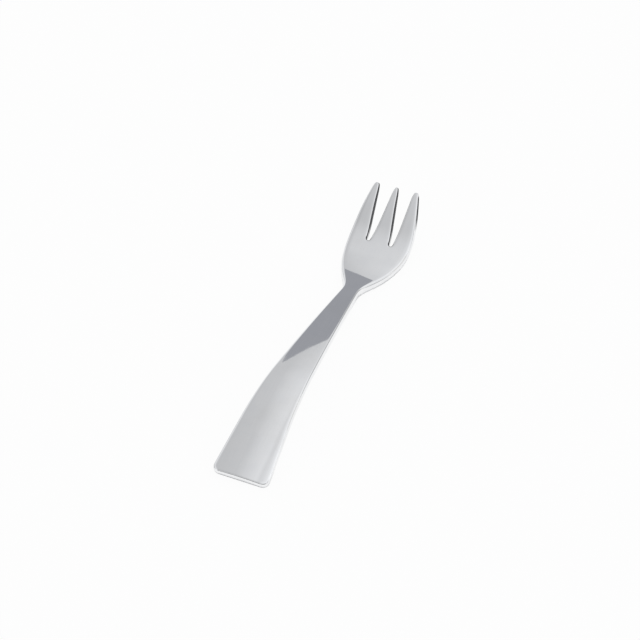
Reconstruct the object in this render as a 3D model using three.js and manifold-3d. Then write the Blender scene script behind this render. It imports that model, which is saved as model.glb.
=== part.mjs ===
// Appetizer fork with three tines, pressed from one piece of stainless steel and mirror polished.
// Millimetres. +Z is up, +Y runs along the fork from the handle's end to the tine tips, +X is to the right.
// The origin lies on the table, under the middle of the fork.
// The blank is drawn flat, measured along from the handle's end, and is then bent along its profile.

import * as THREE from 'three';
import Module from 'manifold-3d';

// Steel
const LENGTH = 110.6; // level distance from the handle's end to the tine tips
const THICKNESS = 2.6;
const EDGE_RADIUS = 1.1; // outer edges, polished almost full round
const CROWN_RADIUS = 80; // the top of the handle is slightly crowned across its width

// Profile, seen from the side: tail, crest, stem, heel, sole, bowl and tines, each tangent to the next
const TAIL_ANGLE = 16.1; // degrees that the handle's end rises
const CREST_RADIUS = 56;
const WAIST_ANGLE = 5.15; // degrees that the stem falls where it leaves the crest
const STEM_ANGLE = 9.8; // degrees that the stem falls where it meets the heel
const HEEL_RADIUS = 70;
const SOLE_LENGTH = 3; // level stretch that rests on the table
const BOWL_RADIUS = 16;
const TINE_ANGLE = 43.3; // degrees that the tines rise
const TINE_STRAIGHT = 11.7; // straight stretch of the tines

// Outline of the blank: full widths, and distances back from the tips
const HANDLE_END_WIDTH = 16.1;
const HANDLE_CORNER_RADIUS = 1.9;
const HANDLE_END_ROUND = 0.9; // rounding of the end face
const NECK_WIDTH = 5.2;
const NECK_TO_TIP = 40.5;
const SHOULDER_WIDTH = 9.7; // where the neck's hollow turns into the head's round shoulder
const SHOULDER_TO_TIP = 34;
const SHOULDER_FLARE = 0.57; // widening of each side there, per length
const HEAD_WIDTH = 19;
const HEAD_TO_TIP = 17.2;
const TIPS_WIDTH = 13.5;
const TIPS_TAPER = 0.25; // narrowing of each side at the tips, per length

// Tines and the two slots between them
const TIP_THICKNESS = 1.6;
const THINNING_TO_TIP = 9; // the tines thin out over this length
const MIDDLE_TIP_WIDTH = 1.1;
const OUTER_TIP_WIDTH = 1.45;
const TIP_RADIUS = 0.35; // nose of each tine, seen from above
const TIP_ROUND = 0.6; // nose of each tine, seen from the side
const SLOT_ROOT_SPACING = 6.9;
const SLOT_ROOT_RADIUS = 0.58;
const SLOT_ROOT_TO_TIP = 17.1;
const SLOT_BOW = 0.11; // hollow of the slots' sides
const SLOT_EDGE_RADIUS = 0.35;

// Facets
const HANDLE_STEP = 3;
const HEAD_STEP = 1.2;
const ROUND_STEPS = 4;
const TOP_COLUMNS = 5;
const ROUND_SHARE = 0.48; // most of an edge's height that one of its two rounds may take
const STRAIGHT = 1e-9; // turn, in radians per millimetre, below which a stretch counts as straight
const CUT_OVERRUN = 1.5; // how far the slot punches reach past the steel

const HALF = THICKNESS / 2;
const lerp = THREE.MathUtils.lerp;

// Profile as a chain of stretches of constant curvature. The lengths of the tail and the stem follow from
// the fork's length and from both its ends coming down to the table.
function makeProfile() {
	const rise = THREE.MathUtils.degToRad(TAIL_ANGLE);
	const waist = -THREE.MathUtils.degToRad(WAIST_ANGLE);
	const fall = -THREE.MathUtils.degToRad(STEM_ANGLE);
	const lift = THREE.MathUtils.degToRad(TINE_ANGLE);
	const endHeight = HANDLE_END_ROUND * (1 - Math.sin(rise)) + (HALF - HANDLE_END_ROUND) * Math.cos(rise);
	const crest = { length: CREST_RADIUS * (rise - waist), from: rise, to: waist };
	const heel = { length: HEEL_RADIUS * -fall, from: fall, to: 0 };
	const sole = { length: SOLE_LENGTH, from: 0, to: 0 };
	const bowl = { length: BOWL_RADIUS * lift, from: 0, to: lift };
	const tine = { length: TINE_STRAIGHT, from: lift, to: lift };
	const gap = new THREE.Vector2(LENGTH, HALF - endHeight);
	for (const stretch of [crest, heel, sole, bowl, tine]) {
		gap.sub(travel(stretch, stretch.length));
	}
	gap.y += travel(bowl, bowl.length).y + travel(tine, tine.length).y;
	const tailStep = travel({ length: 1, from: rise, to: rise }, 1);
	const stemStep = travel({ length: 1, from: waist, to: fall }, 1);
	const area = tailStep.cross(stemStep);
	const tail = { length: gap.cross(stemStep) / area, from: rise, to: rise };
	const stem = { length: tailStep.cross(gap) / area, from: waist, to: fall };
	const chain = [tail, crest, stem, heel, sole, bowl, tine];
	const at = new THREE.Vector2(0, endHeight);
	let start = 0;
	for (const stretch of chain) {
		stretch.start = start;
		stretch.origin = at.clone();
		at.add(travel(stretch, stretch.length));
		start += stretch.length;
	}
	return { chain, sole, length: start };
}

// Level and upright distance covered after a given way along a stretch.
function travel(stretch, way) {
	const turn = (stretch.to - stretch.from) / stretch.length;
	const angle = stretch.from + turn * way;
	if (Math.abs(turn) < STRAIGHT) {
		return new THREE.Vector2(way * Math.cos(angle), way * Math.sin(angle));
	}
	const level = (Math.sin(angle) - Math.sin(stretch.from)) / turn;
	return new THREE.Vector2(level, (Math.cos(stretch.from) - Math.cos(angle)) / turn);
}

const profile = makeProfile();
const TIP = profile.length; // length of the flat blank

// Bends a point of the flat blank: across, along and through the steel from its middle.
function bend(across, along, through) {
	const chain = profile.chain;
	const stretch = chain.findLast((item) => along >= item.start) ?? chain[0];
	const way = along - stretch.start;
	const angle = stretch.from + ((stretch.to - stretch.from) / stretch.length) * way;
	const point = travel(stretch, way).add(stretch.origin);
	const y = point.x - through * Math.sin(angle);
	return new THREE.Vector3(across, y, point.y + through * Math.cos(angle));
}

// Cubic through two points of the outline with a given slope at each.
function ease(along, a, b) {
	const span = b.along - a.along;
	const t = (along - a.along) / span;
	const rest = 1 - t;
	const ends = a.half * (1 + 2 * t) * rest * rest + b.half * (3 - 2 * t) * t * t;
	return ends + span * t * rest * (a.slope * rest - b.slope * t);
}

// What a round of the given radius takes off an edge, at a distance in from the end of the steel.
function roundOff(distance, radius) {
	const inside = THREE.MathUtils.clamp(radius - distance, 0, radius);
	return radius - Math.sqrt(radius * radius - inside * inside);
}

const taper = (HANDLE_END_WIDTH - NECK_WIDTH) / 2 / (TIP - NECK_TO_TIP);
const neck = { along: TIP - NECK_TO_TIP, half: NECK_WIDTH / 2, slope: -taper };
const shoulder = { along: TIP - SHOULDER_TO_TIP, half: SHOULDER_WIDTH / 2, slope: SHOULDER_FLARE };
const head = { along: TIP - HEAD_TO_TIP, half: HEAD_WIDTH / 2, slope: 0 };
const tips = { along: TIP, half: TIPS_WIDTH / 2, slope: -TIPS_TAPER };

// Half the width of the blank: straight taper to the neck, its hollow, round shoulder, outer tine sides.
function halfWidth(along) {
	if (along < neck.along) {
		return HANDLE_END_WIDTH / 2 - taper * along - roundOff(along, HANDLE_CORNER_RADIUS);
	}
	const points = [neck, shoulder, head, tips];
	const next = points.findIndex((point, i) => i > 0 && (along <= point.along || point === tips));
	return ease(along, points[next - 1], points[next]) - roundOff(TIP - along, TIP_RADIUS);
}

// Half the thickness of the steel, which thins along the tines and is rounded off at both ends.
function halfThickness(along) {
	const thinning = Math.max(0, 1 - (TIP - along) / THINNING_TO_TIP);
	const thinned = lerp(HALF, TIP_THICKNESS / 2, Math.min(1, thinning * thinning));
	return thinned - roundOff(along, HANDLE_END_ROUND) - roundOff(TIP - along, TIP_ROUND);
}

// Quarter of a round edge in a section, from the given quarter turn on.
function quarter(x, through, radius, start) {
	return Array.from({ length: ROUND_STEPS + 1 }, (_, i) => {
		const angle = (Math.PI / 2) * (start + i / ROUND_STEPS);
		return new THREE.Vector2(x + radius * Math.cos(angle), through + radius * Math.sin(angle));
	});
}

// Section of the blank: flat below, crowned on top up to the shoulder, with round edges.
function blankSection(along) {
	const half = halfWidth(along);
	const deep = halfThickness(along);
	const crowned = 1 - THREE.MathUtils.smoothstep(along, shoulder.along, head.along);
	const top = (x) => deep - (crowned * x * x) / (2 * CROWN_RADIUS);
	const radius = Math.min(EDGE_RADIUS, ROUND_SHARE * (top(half) + deep), ROUND_SHARE * 2 * half);
	const flat = half - radius;
	const columns = divided(flat, -flat, TOP_COLUMNS).slice(1);
	return [
		...quarter(flat, top(flat) - radius, radius, 0),
		...columns.map((x) => new THREE.Vector2(x, top(x))),
		...quarter(-flat, top(flat) - radius, radius, 1),
		...quarter(-flat, radius - deep, radius, 2),
		...columns.map((x) => new THREE.Vector2(-x, -deep)),
		...quarter(flat, radius - deep, radius, 3),
	];
}

// Closed solid through sections at the given places along the blank, bent to the profile.
function loft(stations, section) {
	const rings = stations.map(section);
	const count = rings[0].length;
	const positions = [];
	rings.forEach((ring, i) => {
		for (const point of ring) {
			positions.push(...bend(point.x, stations[i], point.y).toArray());
		}
	});
	const index = [];
	for (let i = 0; i + 1 < rings.length; i++) {
		for (let j = 0; j < count; j++) {
			const a = i * count + j;
			const b = i * count + ((j + 1) % count);
			index.push(a, a + count, b + count, a, b + count, b);
		}
	}
	const last = (rings.length - 1) * count;
	for (const [a, b, c] of THREE.ShapeUtils.triangulateShape(rings[0], [])) {
		index.push(a, b, c);
	}
	for (const [a, b, c] of THREE.ShapeUtils.triangulateShape(rings.at(-1), [])) {
		index.push(last + a, last + c, last + b);
	}
	return { positions, index };
}

// Evenly spaced places from one to another, without the last.
function divided(from, to, count) {
	return Array.from({ length: count }, (_, i) => lerp(from, to, i / count));
}

// The same, at most a step apart.
function spaced(from, to, step) {
	return divided(from, to, Math.max(1, Math.ceil((to - from) / step)));
}

// Places that draw a round of the given radius, as distances in from the end of the steel.
function roundPlaces(radius) {
	return divided(0, Math.PI / 2, ROUND_STEPS).map((turn) => radius * (1 - Math.cos(turn)));
}

function blankStations() {
	const { sole } = profile;
	const handle = spaced(HANDLE_CORNER_RADIUS, neck.along, HANDLE_STEP);
	const heel = spaced(neck.along, sole.start, HEAD_STEP);
	const rest = spaced(sole.start, sole.start + sole.length, HEAD_STEP);
	const tines = spaced(sole.start + sole.length, TIP - TIP_ROUND, HEAD_STEP);
	const end = roundPlaces(HANDLE_CORNER_RADIUS);
	const noses = roundPlaces(TIP_ROUND).map((distance) => TIP - distance).reverse();
	return [...end, ...handle, ...heel, ...rest, ...tines, TIP - TIP_ROUND, ...noses];
}

const slotRoot = TIP - SLOT_ROOT_TO_TIP; // centre of the round root
const mouthWidth = (TIPS_WIDTH - MIDDLE_TIP_WIDTH) / 2 - OUTER_TIP_WIDTH;
const mouthCentre = (MIDDLE_TIP_WIDTH + mouthWidth) / 2;

// Punch of one slot: a round root, then widening to the tips, flared where it breaks through each face.
function slotSection(along, side) {
	const deep = halfThickness(along);
	const way = Math.max(0, (along - slotRoot) / SLOT_ROOT_TO_TIP);
	const centre = side * lerp(SLOT_ROOT_SPACING / 2, mouthCentre, way);
	const opening = lerp(SLOT_ROOT_RADIUS, mouthWidth / 2, way) + 4 * SLOT_BOW * way * (1 - way);
	const start = along - slotRoot + SLOT_ROOT_RADIUS;
	const half = opening - roundOff(start, SLOT_ROOT_RADIUS) + roundOff(TIP - along, TIP_RADIUS);
	const flare = Math.min(SLOT_EDGE_RADIUS, half, ROUND_SHARE * 2 * deep);
	const outer = half + flare;
	const edge = divided(0, Math.PI / 2, ROUND_STEPS + 1).map((turn) => {
		return new THREE.Vector2(outer - flare * Math.cos(turn), deep - flare + flare * Math.sin(turn));
	});
	edge.push(new THREE.Vector2(outer, deep + CUT_OVERRUN));
	const right = [...edge.toReversed().map(({ x, y }) => new THREE.Vector2(x, -y)), ...edge];
	const left = right.map(({ x, y }) => new THREE.Vector2(-x, -y));
	return [...left, ...right].map(({ x, y }) => new THREE.Vector2(centre + x, y));
}

function slotStations() {
	const first = slotRoot - SLOT_ROOT_RADIUS;
	const root = roundPlaces(SLOT_ROOT_RADIUS).slice(1).map((distance) => first + distance);
	const sides = spaced(slotRoot, TIP - TIP_RADIUS, HEAD_STEP);
	const noses = roundPlaces(TIP_RADIUS).map((distance) => TIP - distance).reverse();
	return [...root, ...sides, TIP - TIP_RADIUS, ...noses, TIP + CUT_OVERRUN];
}

const wasm = await Module();
wasm.setup();

function solid({ positions, index }) {
	const vertProperties = new Float32Array(positions);
	const triVerts = new Uint32Array(index);
	return new wasm.Manifold(new wasm.Mesh({ numProp: 3, vertProperties, triVerts }));
}

function makeFork() {
	let steel = solid(loft(blankStations(), blankSection));
	for (const side of [-1, 1]) {
		steel = steel.subtract(solid(loft(slotStations(), (along) => slotSection(along, side))));
	}
	const mesh = steel.getMesh();
	const geometry = new THREE.BufferGeometry();
	geometry.setAttribute('position', new THREE.BufferAttribute(mesh.vertProperties, 3));
	geometry.setIndex(new THREE.BufferAttribute(mesh.triVerts, 1));
	geometry.computeBoundingBox();
	const middle = geometry.boundingBox.getCenter(new THREE.Vector3());
	geometry.translate(-middle.x, -middle.y, 0);
	geometry.computeVertexNormals();
	const polished = new THREE.MeshStandardMaterial({ color: 0xecedee, metalness: 1, roughness: 0.08 });
	const fork = new THREE.Mesh(geometry, polished);
	fork.name = 'fork';
	return fork;
}

const group = new THREE.Group();
group.add(makeFork());

export default group;
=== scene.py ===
"""Appetizer fork with three tines, pressed from one piece of stainless steel and mirror polished.

The steel is modelled as its flat blank, in millimetres: x across, y along from the handle's end, z through.
The blank is then bent to the fork's profile and set in the frame, which is in metres.
"""

import math
from collections import namedtuple

import bmesh
import bpy
from mathutils import Matrix, Vector


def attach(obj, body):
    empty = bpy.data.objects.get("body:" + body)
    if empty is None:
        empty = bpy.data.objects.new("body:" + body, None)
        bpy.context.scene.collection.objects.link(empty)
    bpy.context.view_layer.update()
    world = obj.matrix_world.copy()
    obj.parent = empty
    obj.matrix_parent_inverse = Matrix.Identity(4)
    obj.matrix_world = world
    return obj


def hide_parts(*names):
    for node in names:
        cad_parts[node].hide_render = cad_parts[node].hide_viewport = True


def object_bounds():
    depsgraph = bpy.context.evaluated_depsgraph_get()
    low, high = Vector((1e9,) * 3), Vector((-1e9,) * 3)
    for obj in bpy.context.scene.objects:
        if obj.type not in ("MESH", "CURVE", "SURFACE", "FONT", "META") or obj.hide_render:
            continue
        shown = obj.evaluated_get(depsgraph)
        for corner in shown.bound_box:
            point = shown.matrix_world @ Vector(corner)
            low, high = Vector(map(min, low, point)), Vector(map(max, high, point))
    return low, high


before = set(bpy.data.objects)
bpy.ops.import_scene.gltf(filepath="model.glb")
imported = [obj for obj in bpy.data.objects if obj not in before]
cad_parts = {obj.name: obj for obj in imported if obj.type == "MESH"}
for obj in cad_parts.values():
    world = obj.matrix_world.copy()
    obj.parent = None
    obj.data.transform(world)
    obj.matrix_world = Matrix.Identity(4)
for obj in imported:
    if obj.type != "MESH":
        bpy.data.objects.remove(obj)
CAD_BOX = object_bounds()

MM = 0.001
QUARTER = math.pi / 2

# Steel
LENGTH = 110.6  # level distance from the handle's end to the tine tips
THICKNESS = 2.6
HALF = THICKNESS / 2
CROWN_RADIUS = 80  # the top of the handle is slightly crowned across its width
HEAD_CROWN = 0.4  # share of the crown that is left at the neck
CROWN_FADE = 8  # length over which the crown falls to that share
CROWN_MARGIN = 4  # the rest of it goes between the shoulder and the head, this far from both

# Profile, seen from the side
TAIL_ANGLE = 16.1  # degrees that the handle's end rises
CREST_RADIUS = 56
WAIST_ANGLE = 5.15  # degrees that the stem falls where it leaves the crest
STEM_ANGLE = 9.8  # degrees that the stem falls where it meets the heel
HEEL_RADIUS = 70
SOLE_LENGTH = 3  # level stretch that rests on the table
BOWL_RADIUS = 16
TINE_ANGLE = 43.3  # degrees that the tines rise
TINE_STRAIGHT = 11.7

# Outline of the blank: full widths, and distances back from the tips
HANDLE_END_WIDTH = 16.1
HANDLE_CORNER_RADIUS = 1.9
NECK_WIDTH = 5.2
NECK_TO_TIP = 40.5
SHOULDER_WIDTH = 9.7
SHOULDER_TO_TIP = 34
SHOULDER_FLARE = 0.57  # widening of each side at the shoulder, per length
HEAD_WIDTH = 19
HEAD_TO_TIP = 17.2
TIPS_WIDTH = 13.5
TIPS_TAPER = 0.25  # narrowing of each side at the tips, per length

# Tines and the two slots between them
TIP_THICKNESS = 1.45
THINNING_TO_TIP = 9
MIDDLE_TIP_WIDTH = 1.1
OUTER_TIP_WIDTH = 1.45
SLOT_ROOT_SPACING = 6.9
SLOT_ROOT_RADIUS = 0.58
SLOT_ROOT_TO_TIP = 17.1
SLOT_BOW = 0.11  # hollow of the slots' sides

# Rounded rims: how far in each starts, and how deep it goes
Rim = namedtuple("Rim", "reach depth")
SIDE_RIM = Rim(0.45, 1.1)
HEAD_RIM = Rim(0.65, 1.25)
OUTER_TINE_RIM = Rim(0.32, 0.9)
END_RIM = Rim(0.65, 1.2)
TIP_RIM = Rim(0.38, 0.9)
SLOT_RIM = Rim(0.3, 0.35)
TIP_BLEND = 1.5  # length over which a slot's rim turns into the tip's

# Mesh
OUTER_COLUMNS = 3
SLOT_COLUMNS = 4
MIDDLE_COLUMNS = 4
CORNER_STEPS = 4
HANDLE_STEP = 2.6
HEAD_STEP = 1.3
ROOT_FADE = 5  # length over which the rows behind a slot straighten out
EVEN_FROM = 4  # behind the slots' roots the columns spread out evenly between these two distances
EVEN_BY = 30
RIM_STEPS = 3
SMOOTH_LEVELS = 2
MERGE_DISTANCE = 1e-4  # closer than this, vertices of the two mirrored halves are one
MAP_MARGIN = THICKNESS  # room at both ends of the map for the rims laid out flat
MAP_ROOM = 0.95  # share of a slot's width that its two sides take in the map

# Cut finish, left on the slots' sides and the tines' outer sides: rougher than the polish, and with a dark
# colour that is painted shade for the dark reflections there
CUT_SHADE_STEP = 2  # step of a slot's rim where the polish gives way
CUT_SHADE_FROM = -5  # between these distances past a slot's root it spreads down the whole side
CUT_SHADE_BY = 9
OUTER_CUT_SHADE_FROM = 14  # between these distances from the tips it comes in on the outer sides
OUTER_CUT_SHADE_BY = 5
CUT_SHADE_LIMITS = (0.25, 0.8)  # shares of the cut finish and its painted shade that show as none and as full
# dark colour of the cut sides: painted shade that stands in for their dark reflections
CUT_SHADE_COLOUR = (0.055, 0.056, 0.06)
BARE_ROUGHNESS = (0.45, 0.65)

# Polish
MIRROR_COLOUR = (0.855, 0.859, 0.868)
MIRROR_ROUGHNESS = 0.02
WAVE_HEIGHT = 0.005  # millimetres that the polished faces wave up and down

# Marks in the polish: colour, how much of it shows, added roughness, and height in shares of the waves'
Mark = namedtuple("Mark", "colour share roughness relief")
BUFFED = Mark((0.84, 0.845, 0.855), 1, 0.02, 0.03)
TARNISHED = Mark((0.80, 0.81, 0.83), 0.4, 0, 0)
SMUDGED = Mark((0.79, 0.788, 0.784), 0.5, 0.05, 0)
SCRATCHED = Mark((0.93, 0.932, 0.938), 0.5, 0.08, -0.04)
WORN = Mark(SCRATCHED.colour, 0.6, 0.1, -0.1)

# Patterns of the marks, per millimetre, with the noise values that count as none and as full
Spots = namedtuple("Spots", "scale detail low high")
WAVES = Spots(0.12, 1, 0.2, 0.8)
TARNISH = Spots(0.3, 3, 0.35, 0.75)
SMUDGES = Spots(0.09, 4, 0.5, 0.8)
NICKS = Spots(1.6, 3, 0.5, 0.7)
Lines = namedtuple("Lines", "turn across along low high")  # turned by degrees from the fork's length
BUFFING = Lines(0, 3, 0.09, 0.3, 0.7)
SCRATCHES = (Lines(32, 5, 0.14, 0.66, 0.74), Lines(-21, 6, 0.17, 0.67, 0.75))
LINE_DETAIL = 3

# Camera, aimed at the frame's origin: degrees round to the right and up, and millimetres away
CAMERA_AZIMUTH = 23.03
CAMERA_ELEVATION = 44.49
CAMERA_DISTANCE = 552.8
CAMERA_LENS = 112.5
CAMERA_SHIFT = (-0.0044, 0.0377)

# Table
TABLE_SIZE = 4  # metres from its middle to its sides
TABLE_GAP = 0.02  # millimetres under the sole, so that the two faces don't share a plane
TABLE_COLOUR = (0.92, 0.92, 0.92)
TABLE_ROUGHNESS = 0.6
SEEN_WHITE = 0.94  # share of plain white in the table as the camera sees it
MIRRORED_WHITE = 1  # and in its reflections, which turn dark close under the steel
CONTACT_REACH = 3  # millimetres over which the steel shades the table
CONTACT_SHADE = (0.45, 0.8)  # open shares of the sky that count as fully shaded, and as fully open

# Upright cards that show only in reflections: degrees round from the back to the right, metres away,
# corners in metres across and up, and colour
Card = namedtuple("Card", "name turn distance corners colour")
CARDS = (
    Card(
        "grey_card", 0, 1.2,
        ((-0.576, 0), (-0.12, 0), (-0.12, 0.757), (-0.576, 0.895)),
        (0.364, 0.372, 0.4),
    ),
    Card("corner_flag", 135, 1, ((0.45, 0), (0.45, 0.2), (-0.4, 0.2), (-0.4, 0)), (0.08, 0.08, 0.083)),
    Card("end_flag", 199, 1, ((0.17, 0), (0.17, 0.22), (-0.17, 0.22), (-0.17, 0)), (0.08, 0.08, 0.083)),
    Card("side_card", 90, 0.6, ((-0.25, 0), (-0.5, 0), (-0.5, 1.2), (-0.25, 1.2)), (0.8, 0.795, 0.785)),
)

# Soft studio light, as brightness along the view direction: the ceiling from left to right, its fall from
# front to back, and the walls from left to right
CEILING = (
    (-0.95, 0.5), (-0.7, 1), (-0.46, 0.615), (-0.32, 0.66), (-0.27, 0.75), (-0.185, 0.855),
    (-0.163, 0.77), (-0.13, 0.875), (0.1, 0.98), (0.4, 1.03), (0.75, 1.05), (0.96, 0.55),
)
CEILING_FALL = ((-0.66, 0.79), (-0.2, 0.97), (0.4, 1), (0.68, 1), (0.8, 0.9))
WALLS = (
    (-0.95, 0.45), (-0.7, 1), (-0.5, 1), (-0.3, 0.65), (0.2, 0.39),
    (0.6, 0.39), (0.8, 0.6), (0.85, 1.25), (0.9, 1.25), (0.97, 0.5),
)
WALL_TOP = (0.3, 0.65)  # heights between which the walls give way to the ceiling
STUDIO_COLOUR = (0.99, 0.997, 1.01)
RAMP_TOP = 2  # brightness that the top of a colour ramp stands for

Stretch = namedtuple("Stretch", "length start end")  # with its slopes at both ends in radians


def lerp(a, b, t):
    return a + (b - a) * t


def smoothstep(value, low, high):
    t = min(1, max(0, (value - low) / (high - low)))
    return t * t * (3 - 2 * t)


def travel(stretch, way):
    """Level and upright distance covered after some way along a stretch."""
    turn = (stretch.end - stretch.start) / stretch.length
    angle = stretch.start + turn * way
    if stretch.end == stretch.start:
        return Vector((math.cos(angle), math.sin(angle))) * way
    level = (math.sin(angle) - math.sin(stretch.start)) / turn
    return Vector((level, (math.cos(stretch.start) - math.cos(angle)) / turn))


def make_profile():
    """Stretches of the profile, each with its distance along the blank and its starting point.

    The tail and the stem take the lengths that bring the handle's end and the sole down on the table.
    """
    rise, waist, fall, lift = map(math.radians, (TAIL_ANGLE, -WAIST_ANGLE, -STEM_ANGLE, TINE_ANGLE))
    reach, depth = END_RIM.reach * math.sin(rise), END_RIM.depth * math.cos(rise)
    # Height of the steel's middle with the round lower edge of the handle's end on the table
    end_height = HALF * math.cos(rise) - depth - reach + math.hypot(reach, depth)
    crest = Stretch(CREST_RADIUS * (rise - waist), rise, waist)
    heel = Stretch(-HEEL_RADIUS * fall, fall, 0)
    sole = Stretch(SOLE_LENGTH, 0, 0)
    bowl = Stretch(BOWL_RADIUS * lift, 0, lift)
    tine = Stretch(TINE_STRAIGHT, lift, lift)
    gap = Vector((LENGTH, HALF - end_height))
    for stretch in (crest, heel, sole, bowl, tine):
        gap -= travel(stretch, stretch.length)
    for stretch in (bowl, tine):
        gap.y += travel(stretch, stretch.length).y
    tail_step = travel(Stretch(1, rise, rise), 1)
    stem_step = travel(Stretch(1, waist, fall), 1)
    area = tail_step.cross(stem_step)
    tail = Stretch(gap.cross(stem_step) / area, rise, rise)
    stem = Stretch(tail_step.cross(gap) / area, waist, fall)
    chain = []
    begin, origin = 0, Vector((0, end_height))
    for stretch in (tail, crest, stem, heel, sole, bowl, tine):
        chain.append((begin, origin.copy(), stretch))
        begin += stretch.length
        origin += travel(stretch, stretch.length)
    return chain, begin


PROFILE, TIP = make_profile()
SLOT_ROOT = TIP - SLOT_ROOT_TO_TIP
MAP_SIZE = TIP + 2 * MAP_MARGIN  # millimetres of steel along one side of the map


def bend(point):
    """A point of the flat blank on the bent fork."""
    begin, origin, stretch = next(
        (item for item in reversed(PROFILE) if point.y >= item[0]), PROFILE[0]
    )
    way = point.y - begin
    angle = lerp(stretch.start, stretch.end, way / stretch.length)
    middle = origin + travel(stretch, way)
    return Vector((point.x, middle.x - point.z * math.sin(angle), middle.y + point.z * math.cos(angle)))


def ease(along, a, b):
    """Cubic through two points of the outline, each a place, a half width and a slope."""
    span = b[0] - a[0]
    t = (along - a[0]) / span
    rest = 1 - t
    ends = a[1] * (1 + 2 * t) * rest * rest + b[1] * (3 - 2 * t) * t * t
    return ends + span * t * rest * (a[2] * rest - b[2] * t)


# Points of the outline: place along the blank, half width and slope
TAPER = (HANDLE_END_WIDTH - NECK_WIDTH) / 2 / (TIP - NECK_TO_TIP)
NECK = (TIP - NECK_TO_TIP, NECK_WIDTH / 2, -TAPER)
SHOULDER = (TIP - SHOULDER_TO_TIP, SHOULDER_WIDTH / 2, SHOULDER_FLARE)
HEAD = (TIP - HEAD_TO_TIP, HEAD_WIDTH / 2, 0)
TIPS = (TIP, TIPS_WIDTH / 2, -TIPS_TAPER)


def half_width(along):
    if along < NECK[0]:
        return HANDLE_END_WIDTH / 2 - TAPER * along
    for a, b in ((NECK, SHOULDER), (SHOULDER, HEAD)):
        if along < b[0]:
            return ease(along, a, b)
    return ease(along, HEAD, TIPS)


def slot_at(along):
    """Middle and half width of the right-hand slot."""
    way = max(0, along - SLOT_ROOT) / SLOT_ROOT_TO_TIP
    mouth = (TIPS_WIDTH - MIDDLE_TIP_WIDTH) / 2 - OUTER_TIP_WIDTH
    middle = lerp(SLOT_ROOT_SPACING / 2, (MIDDLE_TIP_WIDTH + mouth) / 2, way)
    return middle, lerp(SLOT_ROOT_RADIUS, mouth / 2, way) + 4 * SLOT_BOW * way * (1 - way)


def blend_rim(a, b, share):
    return Rim(lerp(a.reach, b.reach, share), lerp(a.depth, b.depth, share))


def side_rim(along):
    if along < HANDLE_CORNER_RADIUS:
        return blend_rim(END_RIM, SIDE_RIM, smoothstep(along, END_RIM.reach, HANDLE_CORNER_RADIUS))
    if along < HEAD[0]:
        return blend_rim(SIDE_RIM, HEAD_RIM, smoothstep(along, NECK[0], SHOULDER[0]))
    return blend_rim(HEAD_RIM, OUTER_TINE_RIM, smoothstep(along, HEAD[0], TIP))


def slot_rim(along):
    return blend_rim(SLOT_RIM, TIP_RIM, smoothstep(along, TIP - TIP_BLEND, TIP))


# Columns of the flat top from left to right: outer tine, slot, middle tine, slot, outer tine
WIDTHS = (OUTER_COLUMNS, SLOT_COLUMNS, MIDDLE_COLUMNS, SLOT_COLUMNS, OUTER_COLUMNS)
EDGE_COLUMNS = [sum(WIDTHS[:i]) for i in range(len(WIDTHS) + 1)]
COLUMNS = EDGE_COLUMNS[-1]
ROOT_RADIUS = SLOT_ROOT_RADIUS + SLOT_RIM.reach  # of the flat top's edge round a slot's root
SHEET_CORNER = HANDLE_CORNER_RADIUS - END_RIM.reach  # radius of the flat top's corners


def corner_cut(along):
    """What the round corners of the handle's end take off each side of the flat top."""
    inside = min(SHEET_CORNER, max(0, SHEET_CORNER - (along - END_RIM.reach)))
    return SHEET_CORNER - math.sqrt(SHEET_CORNER ** 2 - inside ** 2)


def tine_edges(along):
    """Where the flat tops of the tines begin and end, from left to right."""
    inner = half_width(along) - side_rim(along).reach
    middle, half = slot_at(along)
    reach = half + slot_rim(along).reach
    right = [middle - reach, middle + reach, inner]
    return [-x for x in reversed(right)] + right


def sheet_edges(along):
    """The same columns carried back from the slots' roots, evenly spread along the handle."""
    if along >= SLOT_ROOT:
        return tine_edges(along)
    at_root = tine_edges(SLOT_ROOT)
    inner = half_width(along) - side_rim(along).reach - corner_cut(along)
    even = smoothstep(SLOT_ROOT - along, EVEN_FROM, EVEN_BY)
    evenly = [2 * column / COLUMNS - 1 for column in EDGE_COLUMNS]
    return [inner * lerp(x / at_root[-1], share, even) for x, share in zip(at_root, evenly)]


def sheet_point(column, along):
    """Place of one vertex of the flat top. Rows that meet a slot bend round its root."""
    edges = sheet_edges(along)
    part = next(i for i in range(len(WIDTHS)) if column <= EDGE_COLUMNS[i + 1])
    share = (column - EDGE_COLUMNS[part]) / WIDTHS[part]
    x = lerp(edges[part], edges[part + 1], share)
    in_slot = part % 2 == 1
    if in_slot and along <= SLOT_ROOT:
        fade = max(0, 1 - (SLOT_ROOT - along) / ROOT_FADE) ** 2
        middle = (edges[part] + edges[part + 1]) / 2
        turn = math.pi * share
        x = lerp(x, middle - ROOT_RADIUS * math.cos(turn), fade)
        along -= fade * ROOT_RADIUS * math.sin(turn)
    return Vector((x, along, HALF))


def spread(start, end, step):
    """Evenly spaced places from one to another, at most a step apart, without the last."""
    count = max(1, math.ceil((end - start) / step))
    return [lerp(start, end, i / count) for i in range(count)]


def sheet_rows():
    turns = [QUARTER * i / CORNER_STEPS for i in range(CORNER_STEPS)]
    corner = [END_RIM.reach + SHEET_CORNER * (1 - math.cos(turn)) for turn in turns]
    return [
        *corner,
        *spread(END_RIM.reach + SHEET_CORNER, NECK[0], HANDLE_STEP),
        *spread(NECK[0], SLOT_ROOT, HEAD_STEP),
        *spread(SLOT_ROOT, TIP - TIP_RIM.reach, HEAD_STEP),
        TIP - TIP_RIM.reach,
    ]


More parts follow.
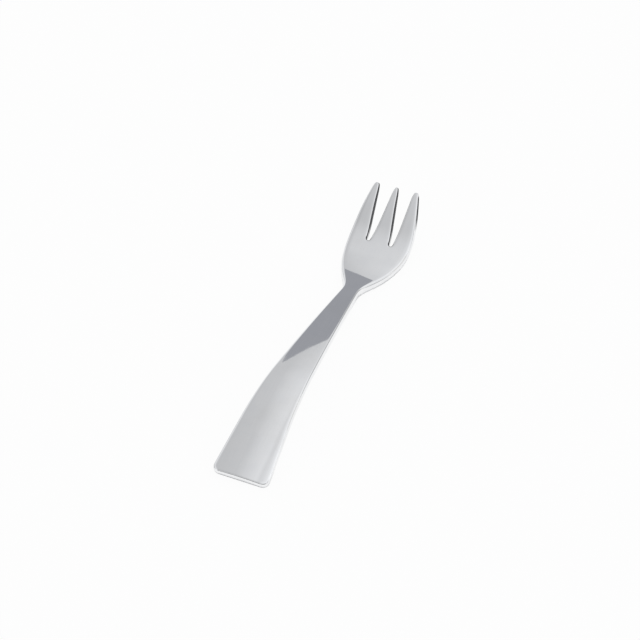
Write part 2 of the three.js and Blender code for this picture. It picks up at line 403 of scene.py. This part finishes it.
def make_sheet(blank):
    """Flat top of the blank inside its rims, with the two slots open. Returns the rim of each edge vertex."""
    rows = sheet_rows()
    cut_shade_edge = blank.verts.layers.float["cut_shade_edge"]
    bmesh.ops.create_grid(blank, x_segments=COLUMNS, y_segments=len(rows) - 1, size=1)
    place = {}
    for vert in blank.verts:
        column = round((vert.co.x + 1) / 2 * COLUMNS)
        row = round((vert.co.y + 1) / 2 * (len(rows) - 1))
        place[vert] = (column, row)
    root_row = rows.index(SLOT_ROOT)
    slots = (range(EDGE_COLUMNS[1], EDGE_COLUMNS[2]), range(EDGE_COLUMNS[3], EDGE_COLUMNS[4]))
    punched = []
    for face in blank.faces:
        column, row = (min(place[vert][i] for vert in face.verts) for i in (0, 1))
        if row >= root_row and any(column in slot for slot in slots):
            punched.append(face)
    for vert, (column, row) in place.items():
        vert.co = sheet_point(column, rows[row])
    bmesh.ops.delete(blank, geom=punched, context="FACES")
    rims = {}
    for vert in blank.verts:
        column, row = place[vert]
        if not vert.is_boundary:
            continue
        if row == 0:
            rims[vert] = END_RIM
        elif row == len(rows) - 1:
            rims[vert] = TIP_RIM
            vert[cut_shade_edge] = column in EDGE_COLUMNS[1:-1]
        elif column in (0, COLUMNS):
            rims[vert] = side_rim(vert.co.y)
            vert[cut_shade_edge] = smoothstep(vert.co.y, TIP - OUTER_CUT_SHADE_FROM, TIP - OUTER_CUT_SHADE_BY)
        else:
            rims[vert] = slot_rim(vert.co.y)
            vert[cut_shade_edge] = 1
    return rims


def outward(vert):
    """Direction out of the sheet at a vertex of its open edge."""
    total = Vector((0, 0, 0))
    for edge in vert.link_edges:
        if edge.is_boundary:
            along = (edge.verts[1].co - edge.verts[0].co).normalized()
            across = along.cross(Vector((0, 0, 1)))
            middle = (edge.verts[0].co + edge.verts[1].co) / 2
            inside = edge.link_faces[0].calc_center_median() - middle
            total += -across if across.dot(inside) > 0 else across
    return total.normalized()


def map_share(vert, rim):
    """Share of its length that a side has in the map. A slot's two sides are shortened so as not to meet."""
    if rim.depth >= TIP_RIM.depth:
        return 1
    room = MAP_ROOM * (slot_at(vert.co.y)[1] + rim.reach)
    return min(1, room / (rim.reach * QUARTER + HALF - rim.depth))


def cut_and_shade_share(along, step):
    """Share of the cut finish and its painted shade on a slot's side: only on the rim at the root, all the
    way down at the tip.
    """
    if step <= RIM_STEPS:
        return 1 if along < SLOT_ROOT or step >= CUT_SHADE_STEP else 0
    return smoothstep(along - SLOT_ROOT, CUT_SHADE_FROM, CUT_SHADE_BY)


def roll_rim(blank, rims):
    """Extrudes the sheet's open edges out and down round their rims, to the middle of the steel."""
    unrolled = blank.verts.layers.float_vector["unrolled"]
    cut_shade_edge = blank.verts.layers.float["cut_shade_edge"]
    cut_and_shade = blank.verts.layers.float["cut_and_shade"]
    edge_wear = blank.verts.layers.float["edge_wear"]
    base = {vert: (vert.co.copy(), outward(vert), rim, map_share(vert, rim)) for vert, rim in rims.items()}
    edges = [edge for edge in blank.edges if edge.is_boundary]
    for step in range(1, RIM_STEPS + 2):
        turn = QUARTER * min(1, step / RIM_STEPS)
        grown = bmesh.ops.extrude_edge_only(blank, edges=edges)["geom"]
        verts = [item for item in grown if isinstance(item, bmesh.types.BMVert)]
        edges = [item for item in grown if isinstance(item, bmesh.types.BMEdge) and item.is_boundary]
        fresh = {}
        for vert in verts:
            parent = next(other for edge in vert.link_edges if (other := edge.other_vert(vert)) in base)
            point, out, rim, share = base[parent]
            height = HALF - rim.depth * (1 - math.cos(turn)) if step <= RIM_STEPS else 0
            vert.co = point + out * rim.reach * math.sin(turn)
            vert.co.z = height
            rolled = rim.reach * turn + (HALF - rim.depth if step > RIM_STEPS else 0)
            vert[unrolled] = point + out * rolled * share
            vert[edge_wear] = step <= RIM_STEPS
            # mask of the cut finish, which also carries its painted shade
            vert[cut_and_shade] = vert[cut_shade_edge] * cut_and_shade_share(point.y, step)
            fresh[vert] = base[parent]
        base = fresh


def make_blank():
    """Closed flat blank: top sheet and rolled rim, mirrored through the middle of the steel."""
    blank = bmesh.new()
    blank.verts.layers.float_vector.new("unrolled")
    for name in ("cut_shade_edge", "cut_and_shade", "edge_wear"):
        blank.verts.layers.float.new(name)
    rims = make_sheet(blank)
    unrolled = blank.verts.layers.float_vector["unrolled"]
    for vert in blank.verts:
        vert[unrolled] = vert.co
    roll_rim(blank, rims)
    everything = blank.verts[:] + blank.edges[:] + blank.faces[:]
    bmesh.ops.mirror(blank, geom=everything, matrix=Matrix.Identity(4), merge_dist=MERGE_DISTANCE, axis="Z")
    bmesh.ops.recalc_face_normals(blank, faces=blank.faces[:])
    cut_and_shade = blank.verts.layers.float["cut_and_shade"]
    for vert in blank.verts:
        if vert.co.z < 0:
            vert[cut_and_shade] = min(vert[cut_and_shade], cut_and_shade_share(vert.co.y, RIM_STEPS + 1))
    return blank


def smoothed(blank, name):
    """Mesh of the blank after subdivision."""
    rough = bpy.data.meshes.new(name)
    blank.to_mesh(rough)
    blank.free()
    holder = bpy.data.objects.new(name, rough)
    bpy.context.scene.collection.objects.link(holder)
    smooth = holder.modifiers.new("smooth", "SUBSURF")
    smooth.levels = smooth.render_levels = SMOOTH_LEVELS
    graph = bpy.context.evaluated_depsgraph_get()
    mesh = bpy.data.meshes.new_from_object(holder.evaluated_get(graph))
    bpy.data.objects.remove(holder)
    bpy.data.meshes.remove(rough)
    return mesh


def thinning(along):
    """Share of its thickness that the steel keeps along the tines."""
    way = min(1, max(0, 1 - (TIP - along) / THINNING_TO_TIP))
    return lerp(1, TIP_THICKNESS / THICKNESS, way * way)


def crown(along):
    """Share of the handle's crown: less at the neck, none on the tines."""
    at_neck = lerp(1, HEAD_CROWN, smoothstep(along, NECK[0] - CROWN_FADE, NECK[0]))
    return at_neck * (1 - smoothstep(along, SHOULDER[0] + CROWN_MARGIN, HEAD[0] - CROWN_MARGIN))


def press(steel):
    """Crowns the flat blank, thins its tines, bends it to the profile and scales it to metres."""
    for vert in steel.verts:
        x, along, through = vert.co
        if through > 0:
            through -= crown(along) * x * x / (2 * CROWN_RADIUS) * through / HALF
        vert.co = bend(Vector((x, along, through * thinning(along)))) * MM
    end = CAD_BOX[0].y - min(vert.co.y for vert in steel.verts)
    sole = CAD_BOX[0].z - min(vert.co.z for vert in steel.verts)
    bmesh.ops.translate(steel, verts=steel.verts[:], vec=(0, end, sole))


def lay_out_map(steel):
    """Map of both faces laid flat side by side, with the length of the blank along v."""
    unrolled = steel.verts.layers.float_vector["unrolled"]
    surface_map = steel.loops.layers.uv.new("blank")
    for face in steel.faces:
        top = face.calc_center_median().z > 0
        for loop in face.loops:
            x, along, _ = loop.vert[unrolled]
            across = MAP_SIZE / 4 + x if top else MAP_SIZE * 3 / 4 - x
            loop[surface_map].uv = (across / MAP_SIZE, (along + MAP_MARGIN) / MAP_SIZE)


def make_fork():
    mesh = smoothed(make_blank(), "fork_steel")
    steel = bmesh.new()
    steel.from_mesh(mesh)
    lay_out_map(steel)
    for face in steel.faces:
        face.smooth = True
    press(steel)
    steel.to_mesh(mesh)
    steel.free()
    mesh.materials.append(polished_steel())
    fork = bpy.data.objects.new("fork_steel", mesh)
    bpy.context.scene.collection.objects.link(fork)
    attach(fork, "root")
    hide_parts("fork")


def feed(tree, socket, value):
    """Links a node's input to another socket, or sets it to a plain value."""
    if isinstance(value, bpy.types.NodeSocket):
        tree.links.new(value, socket)
    else:
        socket.default_value = value


def add(tree, kind, **inputs):
    """A new shader node with its inputs fed by name."""
    node = tree.nodes.new("ShaderNode" + kind)
    for name, value in inputs.items():
        feed(tree, node.inputs[name.replace("_", " ")], value)
    return node


def combine(tree, operation, a, b):
    """Result of a Math node on two sockets or numbers."""
    node = add(tree, "Math")
    node.operation = operation
    feed(tree, node.inputs[0], a)
    feed(tree, node.inputs[1], b)
    return node.outputs[0]


def weighted(tree, terms):
    """Sum of values, each times its weight."""
    total = 0
    for value, weight in terms:
        total = combine(tree, "ADD", combine(tree, "MULTIPLY", value, weight), total)
    return total


def map_range(tree, value, low, high, start, end, smooth=False):
    """A value taken from one range to another and held at its ends."""
    node = add(tree, "MapRange", Value=value, From_Min=low, From_Max=high, To_Min=start, To_Max=end)
    node.interpolation_type = "SMOOTHSTEP" if smooth else "LINEAR"
    return node.outputs["Result"]


def mix_colour(tree, share, a, b):
    """Mix of two colours, each a socket or plain numbers."""
    node = add(tree, "Mix")
    node.data_type = "RGBA"
    sockets = {socket.identifier: socket for socket in node.inputs}
    feed(tree, sockets["Factor_Float"], share)
    for name, colour in (("A_Color", a), ("B_Color", b)):
        feed(tree, sockets[name], (*colour, 1) if isinstance(colour, tuple) else colour)
    return next(socket for socket in node.outputs if socket.identifier == "Result_Color")


def attribute(tree, name):
    node = add(tree, "Attribute")
    node.attribute_name = name
    return node.outputs["Fac"]


def scaled(tree, vector, scale):
    return add(tree, "Mapping", Vector=vector, Scale=scale).outputs[0]


def spots(tree, vector, pattern):
    """Noise whose values between the pattern's limits fill 0 to 1."""
    node = add(tree, "TexNoise", Vector=vector, Scale=pattern.scale, Detail=pattern.detail)
    return map_range(tree, node.outputs["Fac"], pattern.low, pattern.high, 0, 1, smooth=True)


def lines(tree, vector, pattern):
    """The same noise drawn out into lines."""
    turn = (0, 0, math.radians(pattern.turn))
    drawn = add(tree, "Mapping", Vector=vector, Rotation=turn, Scale=(pattern.across, pattern.along, 1))
    return spots(tree, drawn.outputs[0], Spots(1, LINE_DETAIL, pattern.low, pattern.high))


def polished_steel():
    """Mirror polish with buffing lines, handling marks and worn edges. The slots' sides are left as cut,
    rougher and with a dark colour that is painted shade.
    """
    material = bpy.data.materials.new("polished_steel")
    material.use_nodes = True
    tree = material.node_tree
    shader = tree.nodes["Principled BSDF"]
    shader.inputs["Metallic"].default_value = 1
    in_space = scaled(tree, add(tree, "TexCoord").outputs["Object"], (1 / MM, 1 / MM, 1 / MM))
    surface_map = add(tree, "UVMap")
    surface_map.uv_map = "blank"
    on_blank = scaled(tree, surface_map.outputs[0], (MAP_SIZE, MAP_SIZE, 1))

    smudges = spots(tree, in_space, SMUDGES)
    tarnish = spots(tree, in_space, TARNISH)
    waves = spots(tree, in_space, WAVES)
    nicks = spots(tree, in_space, NICKS)
    buffing = lines(tree, on_blank, BUFFING)
    scratches = combine(tree, "MAXIMUM", *(lines(tree, on_blank, pattern) for pattern in SCRATCHES))
    worn = combine(tree, "MULTIPLY", attribute(tree, "edge_wear"), nicks)
    cut_and_shade = map_range(tree, attribute(tree, "cut_and_shade"), *CUT_SHADE_LIMITS, 0, 1)

    colour = MIRROR_COLOUR
    for mask, mark in ((buffing, BUFFED), (tarnish, TARNISHED), (smudges, SMUDGED)):
        colour = mix_colour(tree, combine(tree, "MULTIPLY", mask, mark.share), colour, mark.colour)
    scratch_share = combine(tree, "MULTIPLY", scratches, SCRATCHED.share)
    worn_share = combine(tree, "MULTIPLY", worn, WORN.share)
    bright = combine(tree, "MAXIMUM", scratch_share, worn_share)
    colour = mix_colour(tree, bright, colour, SCRATCHED.colour)
    # the cut sides' dark colour is painted shade, standing in for the dark reflections in the slots and on
    # the tines' outer sides
    colour = mix_colour(tree, cut_and_shade, colour, CUT_SHADE_COLOUR)
    tree.links.new(colour, shader.inputs["Base Color"])

    marks = ((smudges, SMUDGED), (buffing, BUFFED), (scratches, SCRATCHED), (worn, WORN))
    added = weighted(tree, [(mask, mark.roughness) for mask, mark in marks])
    polish = combine(tree, "ADD", added, MIRROR_ROUGHNESS)
    cut = map_range(tree, buffing, 0, 1, *BARE_ROUGHNESS)
    roughness = add(tree, "Mix", Factor=cut_and_shade, A=polish, B=cut)
    tree.links.new(roughness.outputs["Result"], shader.inputs["Roughness"])

    relief = [(mask, mark.relief) for mask, mark in marks if mark.relief]
    height = weighted(tree, [(waves, 1), *relief])
    bump = add(tree, "Bump", Height=height, Strength=1, Distance=WAVE_HEIGHT * MM)
    tree.links.new(bump.outputs[0], shader.inputs["Normal"])
    return material


def make_camera():
    azimuth, elevation = math.radians(CAMERA_AZIMUTH), math.radians(CAMERA_ELEVATION)
    back = Vector((
        math.sin(azimuth) * math.cos(elevation),
        -math.cos(azimuth) * math.cos(elevation),
        math.sin(elevation),
    ))
    data = bpy.data.cameras.new("camera")
    data.lens = CAMERA_LENS
    data.shift_x, data.shift_y = CAMERA_SHIFT
    camera = bpy.data.objects.new("camera", data)
    camera.location = back * CAMERA_DISTANCE * MM
    camera.rotation_mode = "QUATERNION"
    camera.rotation_quaternion = (-back).to_track_quat("-Z", "Y")
    bpy.context.scene.collection.objects.link(camera)
    bpy.context.scene.camera = camera


def link_stage(name, shape, material):
    """Makes a bmesh a piece of the stage, which isn't part of the fork."""
    mesh = bpy.data.meshes.new(name)
    shape.to_mesh(mesh)
    shape.free()
    mesh.materials.append(material)
    stage = bpy.data.objects.new(name, mesh)
    bpy.context.scene.collection.objects.link(stage)
    return stage


def table_material():
    """Pale table, nearly plain white to the camera and in reflections, that keeps the fork's shadow."""
    material = bpy.data.materials.new("pale_table")
    material.use_nodes = True
    tree = material.node_tree
    shader = tree.nodes["Principled BSDF"]
    shader.inputs["Base Color"].default_value = (*TABLE_COLOUR, 1)
    shader.inputs["Roughness"].default_value = TABLE_ROUGHNESS
    path = add(tree, "LightPath")
    mirrored = combine(tree, "MAXIMUM", path.outputs["Is Glossy Ray"], path.outputs["Is Transmission Ray"])
    sky = add(tree, "AmbientOcclusion", Distance=CONTACT_REACH * MM)
    unshaded = map_range(tree, sky.outputs["AO"], *CONTACT_SHADE, 0, MIRRORED_WHITE, smooth=True)
    mirrored = combine(tree, "MULTIPLY", mirrored, unshaded)
    seen = combine(tree, "MULTIPLY", path.outputs["Is Camera Ray"], SEEN_WHITE)
    white = add(tree, "Emission", Color=(1, 1, 1, 1))
    mix = add(tree, "MixShader", Fac=combine(tree, "MAXIMUM", seen, mirrored))
    tree.links.new(shader.outputs[0], mix.inputs[1])
    tree.links.new(white.outputs[0], mix.inputs[2])
    tree.links.new(mix.outputs[0], tree.nodes["Material Output"].inputs["Surface"])
    return material


def lay_table():
    shape = bmesh.new()
    bmesh.ops.create_grid(shape, x_segments=1, y_segments=1, size=TABLE_SIZE)
    bmesh.ops.translate(shape, verts=shape.verts[:], vec=(0, 0, -TABLE_GAP * MM))
    link_stage("table", shape, table_material())


def glow(name, colour):
    material = bpy.data.materials.new(name)
    material.use_nodes = True
    tree = material.node_tree
    tree.nodes.clear()
    light = add(tree, "Emission", Color=(*colour, 1))
    add(tree, "OutputMaterial", Surface=light.outputs[0])
    return material


def stand_card(card):
    turn = math.radians(card.turn)
    middle = Vector((math.sin(turn), math.cos(turn), 0)) * card.distance
    across = Vector((math.cos(turn), -math.sin(turn), 0))
    shape = bmesh.new()
    corners = [middle + across * right + Vector((0, 0, up)) for right, up in card.corners]
    shape.faces.new([shape.verts.new(corner) for corner in corners])
    stage = link_stage(card.name, shape, glow(card.name, card.colour))
    stage.visible_camera = False
    stage.visible_diffuse = False
    stage.visible_shadow = False


def ramp(tree, value, stops, interpolation="LINEAR"):
    """Brightness along one axis of the view direction, from -1 to 1. Stops are (place, brightness)."""
    node = add(tree, "ValToRGB", Fac=map_range(tree, value, -1, 1, 0, 1))
    node.color_ramp.interpolation = interpolation
    elements = node.color_ramp.elements
    while len(elements) < len(stops):
        elements.new(0.5)
    for element, (at, level) in zip(elements, stops):
        element.position = (at + 1) / 2
        element.color = (level / RAMP_TOP, level / RAMP_TOP, level / RAMP_TOP, 1)
    return combine(tree, "MULTIPLY", node.outputs["Color"], RAMP_TOP)


def make_world():
    """Soft light from a ceiling and walls that are brighter in some directions than in others."""
    world = bpy.data.worlds.new("studio")
    world.use_nodes = True
    bpy.context.scene.world = world
    tree = world.node_tree
    view = add(tree, "TexCoord").outputs["Generated"]
    x, y, z = add(tree, "SeparateXYZ", Vector=view).outputs
    ceiling = combine(tree, "MULTIPLY", ramp(tree, x, CEILING), ramp(tree, y, CEILING_FALL, "B_SPLINE"))
    low = map_range(tree, z, *WALL_TOP, 1, 0, smooth=True)
    level = add(tree, "Mix", Factor=low, A=ceiling, B=ramp(tree, x, WALLS))
    background = tree.nodes["Background"]
    tree.links.new(level.outputs["Result"], background.inputs["Strength"])
    background.inputs["Color"].default_value = (*STUDIO_COLOUR, 1)


make_camera()
lay_table()
for card in CARDS:
    stand_card(card)
make_world()
make_fork()
bpy.context.scene.view_settings.view_transform = "Standard"
